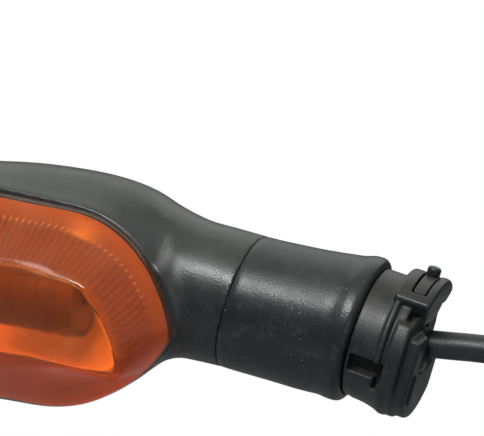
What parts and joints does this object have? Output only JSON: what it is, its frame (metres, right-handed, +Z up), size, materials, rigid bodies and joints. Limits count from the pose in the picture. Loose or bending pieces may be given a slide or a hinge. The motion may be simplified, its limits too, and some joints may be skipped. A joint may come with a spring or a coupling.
{
  "type": "turn signal indicator",
  "caption": "Motorcycle turn signal with an amber fluted lens, black housing, flexible rubber stem, snap-in base and a short lead with a connector.",
  "frame": {"origin": "centre of the panel hole, on the plane of the stem lip's seat", "axes": "+X inboard along the stem towards the lead, -Y the way the lens faces, +Z up"},
  "size_m": [0.1895, 0.0507, 0.2033],
  "materials": {
    "housing_plastic": "matt weathered black",
    "amber_lens": "glossy transparent amber",
    "seal_rubber": "matt",
    "plated_steel": "zinc plated",
    "aged_plating": "dark aged plating",
    "reflector_chrome": "vacuum metallised",
    "bulb_glass": "clear",
    "bulb_brass": "nickelled brass",
    "solder": "dull tin",
    "filament": "tungsten wire",
    "insulator_board": "brown laminate",
    "contact_brass": "bright",
    "stem_rubber": "smooth matt",
    "base_nylon": "satin moulded",
    "latch_plastic": "satin",
    "live_insulation": "satin",
    "earth_insulation": "satin",
    "cable_sheath": "satin",
    "connector_nylon": "satin moulded"
  },
  "bodies": {
    "base": {"mounting_base": "base_nylon", "flexible_stem": "stem_rubber", "cable_grommet": "seal_rubber", "live_wire": "live_insulation", "earth_wire": "earth_insulation", "cable": "cable_sheath", "connector_housing": "connector_nylon", "connector_pin_live": "contact_brass", "connector_pin_earth": "contact_brass", "connector_seal": "seal_rubber"},
    "head": {"rear_housing": "housing_plastic", "lens": "amber_lens", "lens_gasket": "seal_rubber", "lens_screw": "plated_steel", "screw_seal": "seal_rubber", "reflector": "reflector_chrome", "socket_shell": "aged_plating", "socket_insulator": "insulator_board", "socket_bracket": "aged_plating", "bracket_rivet": "plated_steel", "contact_spring": "plated_steel"},
    "bulb": {"bulb_glass": "bulb_glass", "bulb_cap": "bulb_brass", "bulb_contact": "solder", "bulb_filament": "filament"},
    "plunger": {"contact_plunger": "contact_brass"},
    "latch": {"latch_tongue": "base_nylon", "latch_pin": "latch_plastic"},
    "lever": {"connector_lever": "connector_nylon"}
  },
  "joints": [
    {"name": "stem_flex", "type": "hinge", "parent": "base", "child": "head", "pos_m": [-0.014, 0, -0.0017], "axis": [0, 0, 1], "range_deg": [-20, 20], "stiffness_Nm_per_rad": 1.5, "deforming": ["flexible_stem", "live_wire", "earth_wire"]},
    {"name": "bulb_push", "type": "slide", "parent": "head", "child": "bulb", "axis": [0.9833, 0, 0.1822], "range_m": [0, 0.002], "stiffness_N_per_m": 1000},
    {"name": "plunger_push", "type": "slide", "parent": "head", "child": "plunger", "axis": [0.9833, 0, 0.1822], "range_m": [0, 0.002], "deforming": ["contact_spring"]},
    {"name": "latch_press", "type": "hinge", "parent": "base", "child": "latch", "pos_m": [0.0103, -0.0077, 0.01345], "axis": [-1, 0, 0], "range_deg": [0, 8], "stiffness_Nm_per_rad": 0.03},
    {"name": "connector_lever_press", "type": "hinge", "parent": "base", "child": "lever", "pos_m": [0.0635, 0.007, -0.173], "axis": [1, 0, 0], "range_deg": [0, 5], "stiffness_Nm_per_rad": 0.03}
  ],
  "couplings": [
    {"joint": "plunger_push", "follows": "bulb_push", "ratio": 1}
  ]
}
